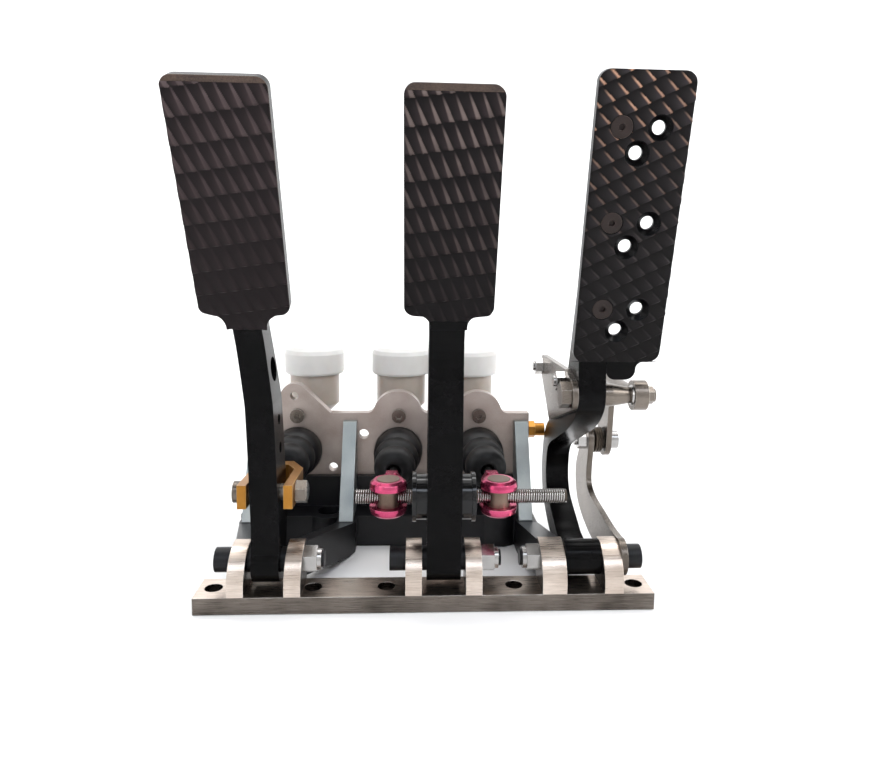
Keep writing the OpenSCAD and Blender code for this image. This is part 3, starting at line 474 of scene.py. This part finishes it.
def roundedEdge(halfWidth, low, high, corner, neckHalf, fillet):
    # left and right edges, in metres, of a pad with round corners and a filleted neck
    def edges(up):
        if up < low:
            rise = up - (low - fillet)
            reach = neckHalf
            if rise > 0:
                reach = neckHalf + fillet - math.sqrt(max(fillet ** 2 - rise ** 2, 0))
            return -reach, reach
        cut = 0.0
        for gap in (up - low, high - up):
            if gap < corner:
                cut = max(cut, corner - math.sqrt(max(corner ** 2 - (corner - gap) ** 2, 0)))
        return -halfWidth + cut, halfWidth - cut
    return edges


allPads = {"half": 31, "skirt": 0.4}  # mm, the width that wear fades over and how deep the scales' rim goes


def scalePad(name, pad, body, holes=()):
    face = padFace(pad["edges"], pad["low"] * mm, pad["high"] * mm, pad["cell"] * mm, holes)
    values = {label: pad[label.lower()] * mm for label in ("Row", "Column", "Lift", "Drift", "Depth")}
    for label in ("Slant", "Climb", "Facet", "Reach", "Fade", "Steep"):
        values[label] = pad[label.lower()]
    values.update({"Height": pad["high"] * mm, "Half": allPads["half"] * mm, "Finish": pad["finish"]})
    mesh = runTree(face, padTree, values)
    skirt(mesh, allPads["skirt"] * mm)
    foot = Matrix.Translation(Vector(pad["foot"]) * mm)
    mesh.transform(foot @ Matrix.Rotation(math.radians(pad["lean"]), 4, "X"))
    pieceFromMesh(name, mesh, body)


padTree = scaleTree()
clutchPad = {"foot": (-127.2, -13.7, 224), "lean": 24.2, "low": -21.4, "high": 143.2, "cell": 0.5,
             "row": 16.9, "column": 8.3, "slant": 0.45, "climb": 0.16, "lift": 8.6, "drift": 0,
             "depth": 1.5, "facet": 0.34, "reach": 1.15, "fade": 0.3, "steep": 2.0, "finish": padDull,
             "edges": roundedEdge(0.0309, -0.01, 0.1469, 0.007, 0.0139, 0.0105)}
brakePad = {"foot": (13.2, -18.2, 219.6), "lean": 18.4, "low": -7.5, "high": 142.8, "cell": 0.5,
            "row": 16.85, "column": 8.05, "slant": 0.46, "climb": 0.137, "lift": 7.2, "drift": 0,
            "depth": 1.6, "facet": 0.34, "reach": 0.98, "fade": 0.0, "steep": 1.6, "finish": padBlack,
            "edges": roundedEdge(0.0309, -0.004, 0.147, 0.007, 0.0129, 0.008)}
throttlePad = {"foot": (133, -11, 189.4), "lean": 14.1, "low": -5.9, "high": 188.9, "cell": 0.5,
               "row": 12.9, "column": 8.1, "slant": 0.72, "climb": 0.52, "lift": 0, "drift": -1.5,
               "depth": 1.5, "facet": 0.17, "reach": 0.8, "fade": 0.6, "steep": 5.5, "finish": padTan,
               "edges": roundedEdge(0.0309, -0.0059, 0.1889, 0.008, 0.0309, 0.001)}
# across, above its row, and radius of the screw and the two holes in each row of the throttle pad
padRows = {"heights": (154.6, 93.5, 33.3), "openings": ((-13.5, 0, 7.5), (-2, -16, 8.3), (11.3, 0, 8.3))}
padHoles = []
for height in padRows["heights"]:
    for x, above, radius in padRows["openings"]:
        padHoles.append((x * mm, (height + above) * mm, radius * mm))
scalePad("clutchPadScales", clutchPad, "clutch_pedal")
scalePad("brakePadScales", brakePad, "brake_pedal")
scalePad("throttlePadScales", throttlePad, "throttle_pedal", padHoles)
print("pad scales cut")


def spiralTree():
    # a wire wound along Z: a thread's crest or a spring
    number, count = "NodeSocketFloat", "NodeSocketInt"
    sockets = [("Turns", number), ("Radius", number), ("Height", number), ("Wire", number),
               ("Sides", count), ("Steps", count), ("Finish", "NodeSocketMaterial")]
    tree, given = newTree("wound wire", sockets)
    size = given.outputs
    coil = addNode(tree, "GeometryNodeCurveSpiral", {"Resolution": size["Steps"], "Rotations": size["Turns"],
                                                     "Start Radius": size["Radius"],
                                                     "End Radius": size["Radius"],
                                                     "Height": size["Height"]})
    section = addNode(tree, "GeometryNodeCurvePrimitiveCircle", {"Resolution": size["Sides"],
                                                                 "Radius": size["Wire"]})
    wire = addNode(tree, "GeometryNodeCurveToMesh", {"Curve": coil.outputs[0],
                                                     "Profile Curve": section.outputs[0],
                                                     "Fill Caps": True})
    smooth = addNode(tree, "GeometryNodeSetShadeSmooth", {"Geometry": wire.outputs[0]})
    whole = addNode(tree, "GeometryNodeRealizeInstances", {"Geometry": smooth.outputs[0]})
    painted = addNode(tree, "GeometryNodeSetMaterial", {"Geometry": whole.outputs[0],
                                                        "Material": size["Finish"]})
    addNode(tree, "NodeGroupOutput", {"Geometry": painted.outputs[0]})
    return tree


turnSteps = 28  # points on each turn of a wound wire


def woundWire(turns, radius, height, wire, sides, finish):
    values = {"Turns": turns, "Radius": radius * mm, "Height": height * mm, "Wire": wire * mm,
              "Sides": sides, "Steps": turnSteps, "Finish": finish}
    return runTree(bpy.data.meshes.new("start"), wireTree, values)


def lathe(profile, steps=72):
    # closed surface of revolution about Z from (radius, height) points in mm
    work = bmesh.new()
    rings = []
    for i in range(steps):
        angle = 2 * math.pi * i / steps
        rings.append([work.verts.new((r * math.cos(angle) * mm, r * math.sin(angle) * mm, h * mm))
                      for r, h in profile])
    count = len(profile)
    for i in range(steps):
        near, far = rings[i], rings[(i + 1) % steps]
        for j in range(count):
            k = (j + 1) % count
            work.faces.new((near[j], far[j], far[k], near[k]))
    bmesh.ops.remove_doubles(work, verts=work.verts, dist=1e-7)
    bmesh.ops.recalc_face_normals(work, faces=work.faces)
    for face in work.faces:
        face.smooth = True
    mesh = bpy.data.meshes.new("turned")
    work.to_mesh(mesh)
    work.free()
    return mesh


def joined(parts):
    # one mesh in which each part keeps its own finish
    work = bmesh.new()
    mesh = bpy.data.meshes.new("joined")
    for place, part in enumerate(parts):
        before = len(work.faces)
        work.from_mesh(part)
        work.faces.ensure_lookup_table()
        for face in work.faces[before:]:
            face.material_index = place
        mesh.materials.append(part.materials[0])
    work.to_mesh(mesh)
    work.free()
    return mesh


wireTree = spiralTree()
alongX = Matrix.Rotation(math.radians(90), 4, "Y")
alongY = Matrix.Rotation(math.radians(-90), 4, "X")
onAxis = 0.01  # mm, the smallest radius at the end of a turned piece

balanceBar = {"axis": (11, 77.5), "from": -54.3, "to": 105.2, "core": 5.0, "crest": 0.55, "pitch": 1.75}
barLength = balanceBar["to"] - balanceBar["from"]
barCore = balanceBar["core"]
# the bar's centre under the thread takes the darker spring steel: a painted shade in the roots of the
# thread, between its plated crests
core = lathe([(onAxis, 0), (barCore, 0), (barCore, barLength), (onAxis, barLength)], 40)
core.materials.append(springSteel)
turns = barLength / balanceBar["pitch"] - 1
thread = woundWire(turns, barCore, barLength - balanceBar["pitch"], balanceBar["crest"], 4, zincPlate)
thread.transform(Matrix.Translation((0, 0, balanceBar["pitch"] / 2 * mm)))

# the bearing ball between its two collars
bearing = {"middle": 66.5, "ball": 11, "arc": 40, "collar": 7.5, "inner": 7.2, "outer": 9}
middle, collar = bearing["middle"], bearing["collar"]
ball = [(onAxis, middle - bearing["outer"]), (collar, middle - bearing["outer"]),
        (collar, middle - bearing["inner"])]
for degrees in range(-bearing["arc"], bearing["arc"] + 1, 8):
    angle = math.radians(degrees)
    ball.append((bearing["ball"] * math.cos(angle), middle + bearing["ball"] * math.sin(angle)))
ball += [(collar, middle + bearing["inner"]), (collar, middle + bearing["outer"]),
         (onAxis, middle + bearing["outer"])]
bearingBall = lathe(ball, 48)
bearingBall.materials.append(zincPlate)
barMesh = joined([core, thread, bearingBall])
barMesh.transform(Matrix.Translation(Vector((balanceBar["from"], *balanceBar["axis"])) * mm) @ alongX)
threadedBar = pieceFromMesh("threadedBalanceBar", barMesh, "balance_bar")
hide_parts("balance_bar")

spring = {"axis": (112, 94), "from": 151.8, "turns": 2.6, "radius": 10.2, "wire": 1.35, "height": 5.6,
          "sides": 12}
coil = woundWire(spring["turns"], spring["radius"], spring["height"], spring["wire"], spring["sides"],
                 springSteel)
coil.transform(Matrix.Translation(Vector((spring["from"], *spring["axis"])) * mm) @ alongX)
woundSpring = pieceFromMesh("torsionSpring", coil, "base")
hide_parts("throttle_spring")
print("threads and spring wound")

boot = {"front": 71.5, "length": 67.5, "axis": 77.5, "rodHole": 5.8, "lip": 3.2, "noseHole": 14.9,
        "noseDepth": 16, "bead": 21.8, "beadWidth": 5, "beadRound": 0.8, "foldSteps": 5}
# radius and distance from the rod end, outside over the folds and back inside them
bootFolds = [(8, 0), (12.5, 1.5), (15.8, 4.5), (17.2, 8.5), (17.6, 13), (17.4, 18), (15.6, 22.5),
             (18.4, 27), (19.6, 32), (19.4, 37), (17.8, 40.5), (20.6, 46), (21.8, 51)]
bootInside = [(15.2, 42), (16.6, 35), (15.6, 29), (13, 23), (14.6, 17), (14.4, 12), (12.5, 7.5), (9, 4.2)]


def smoothThrough(points, steps):
    # soft curve through a few points
    ends = [points[0]] + points + [points[-1]]
    curve = []
    for a, b, c, d in zip(ends, ends[1:], ends[2:], ends[3:]):
        for i in range(steps):
            t = i / steps
            curve.append(tuple(0.5 * (2 * q + (r - p) * t + (2 * p - 5 * q + 4 * r - s) * t ** 2
                                      + (3 * q - p - 3 * r + s) * t ** 3)
                               for p, q, r, s in zip(a, b, c, d)))
    return curve + [points[-1]]


def bootProfile():
    # from the rod end out over the folds to the bead at the plate, and back inside
    length, bead, nose, rodHole = (boot[key] for key in ("length", "bead", "noseHole", "rodHole"))
    outer = smoothThrough(bootFolds, boot["foldSteps"])
    outer += [(bead, length - boot["beadWidth"]), (bead - boot["beadRound"], length)]
    inner = [(nose, length), (nose, length - boot["noseDepth"])] + bootInside
    return outer + inner + [(rodHole, boot["lip"]), (rodHole, 0)]


# a boot lies along its rod, tilted and turned as the rod is
bootSeats = [{"name": "clutch", "x": -117.2, "tilt": 2.38, "yaw": 0, "sink": 9.2,
              "joint": "clutch_press", "keep": 0.72},
             {"name": "front", "x": -24.8, "tilt": 0, "yaw": -2.18, "sink": 0,
              "joint": "brake_press", "keep": 0.84},
             {"name": "rear", "x": 49.2, "tilt": 0, "yaw": 2.18, "sink": 0,
              "joint": "brake_press", "keep": 0.84}]
for seat in bootSeats:
    mesh = lathe(bootProfile())
    mesh.materials.append(rubber)
    plateEnd = Vector((seat["x"], boot["front"] + boot["length"], boot["axis"])) * mm
    swing = Matrix.Rotation(math.radians(seat["yaw"]), 4, "Z")
    lean = swing @ Matrix.Rotation(math.radians(-seat["tilt"]), 4, "X")
    rodEnd = Matrix.Translation((0, -boot["length"] * mm, 0))
    mesh.transform(Matrix.Translation(plateEnd) @ lean @ rodEnd @ alongY)
    piece = pieceFromMesh(seat["name"] + "DustBoot", mesh, "base")
    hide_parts(seat["name"] + "_boot")
    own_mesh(piece)
print("boots moulded")

# metres: the level floor's radius, the bend up into the wall and the wall's top
studio = {"flat": 1.3, "bend": 0.9, "bendSteps": 12, "wallTop": 3.2, "steps": 96, "below": 0.0005}


def paleFloor():
    # matt painted floor, hardly shaded, that sweeps up into a wall all about the part with no line
    material, tree, coords, shader = surface("matt paint", {"Roughness": 0.7, "Specular IOR Level": 0.2})
    drift = addNode(tree, "ShaderNodeTexNoise", {"Vector": coords, "Scale": perMetre(400)})
    colour = addNode(tree, "ShaderNodeMix", {"Factor": drift.outputs["Fac"], "A": linear("#f4f4f4"),
                                             "B": linear("#f8f8f8")}, data_type="RGBA")
    tree.links.new(colour.outputs["Result"], shader.inputs["Base Color"])
    flat, bend, steps = studio["flat"], studio["bend"], studio["steps"]
    sweep = [(0, 0), (flat, 0)]
    for i in range(1, studio["bendSteps"] + 1):
        angle = math.radians(90 / studio["bendSteps"] * i)
        sweep.append((flat + bend * math.sin(angle), bend - bend * math.cos(angle)))
    sweep.append((flat + bend, studio["wallTop"]))
    work = bmesh.new()
    lines = []
    for i in range(steps):
        angle = 2 * math.pi * i / steps
        lines.append([work.verts.new((r * math.cos(angle), r * math.sin(angle), z)) for r, z in sweep])
    for i in range(steps):
        near, far = lines[i - 1], lines[i]
        for j in range(len(sweep) - 1):
            work.faces.new((near[j], near[j + 1], far[j + 1], far[j])).smooth = True
    bmesh.ops.remove_doubles(work, verts=work.verts, dist=1e-6)
    mesh = bpy.data.meshes.new("floor")
    work.to_mesh(mesh)
    work.free()
    mesh.materials.append(material)
    floor = bpy.data.objects.new("floor", mesh)
    floor.location.z = -studio["below"]
    bpy.context.scene.collection.objects.link(floor)


def softLight(name, place, aim, size, power, tint="#ffffff"):
    data = bpy.data.lights.new(name, "AREA")
    data.color = linear(tint)[:3]
    data.shape = "RECTANGLE"
    data.size, data.size_y = size
    data.energy = power
    light = bpy.data.objects.new(name, data)
    light.location = place
    light.rotation_euler = (Vector(aim) - Vector(place)).to_track_quat("-Z", "Y").to_euler()
    bpy.context.scene.collection.objects.link(light)


paleFloor()
middlePoint = (0, 0.05, 0.15)
softLight("overhead", (0.0, 0.25, 1.7), middlePoint, (1.8, 1.4), 12.2)
softLight("frontStrip", (0.1, -1.05, 1.3), (0, -0.02, 0.06), (1.5, 0.3), 6.5, "#e6f0ff")
softLight("frontLeft", (-1.3, -1.1, 1.1), middlePoint, (0.7, 1.3), 6.5)
softLight("frontRight", (1.3, -0.7, 1.0), middlePoint, (0.5, 0.9), 14.4)
softLight("wallWash", (0.0, 0.7, 1.9), (0, 2.0, 0.6), (2.6, 0.6), 32.4)

world = bpy.data.worlds.new("studio")
bpy.context.scene.world = world
world.use_nodes = True
room = world.node_tree.nodes["Background"].inputs
room["Color"].default_value = linear("#eeebe7")
room["Strength"].default_value = 0.245

# millimetres and degrees, with the focal length and the centre in pixels of the frame
view = {"place": (-9.09, -488.32, 256.64), "yaw": -2.99, "pitch": 6.61, "roll": 0.78, "focal": 686.85,
        "centre": (452.13, 336.31), "frame": (878, 767), "sensor": 36}


def photoCamera():
    yaw, pitch, roll = (math.radians(view[key]) for key in ("yaw", "pitch", "roll"))
    turn = Matrix.Rotation(yaw, 3, "Z")
    ahead = turn @ Vector((0, math.cos(pitch), -math.sin(pitch)))
    level = turn @ Vector((1, 0, 0))
    upright = level.cross(ahead)
    right = math.cos(roll) * level + math.sin(roll) * upright
    up = math.cos(roll) * upright - math.sin(roll) * level
    data = bpy.data.cameras.new("photo view")
    wide, tall = view["frame"]
    data.sensor_fit = "HORIZONTAL"
    data.sensor_width = view["sensor"]
    data.lens = view["sensor"] * view["focal"] / wide
    data.shift_x = (wide / 2 - view["centre"][0]) / wide
    data.shift_y = (view["centre"][1] - tall / 2) / wide
    data.clip_start = 0.01
    camera = bpy.data.objects.new("photo view", data)
    pose = Matrix((right, up, -ahead)).transposed().to_4x4()
    pose.translation = Vector(view["place"]) * mm
    camera.matrix_world = pose
    bpy.context.scene.collection.objects.link(camera)
    bpy.context.scene.camera = camera


photoCamera()
bpy.context.scene.view_settings.view_transform = "Standard"
print("stage set")
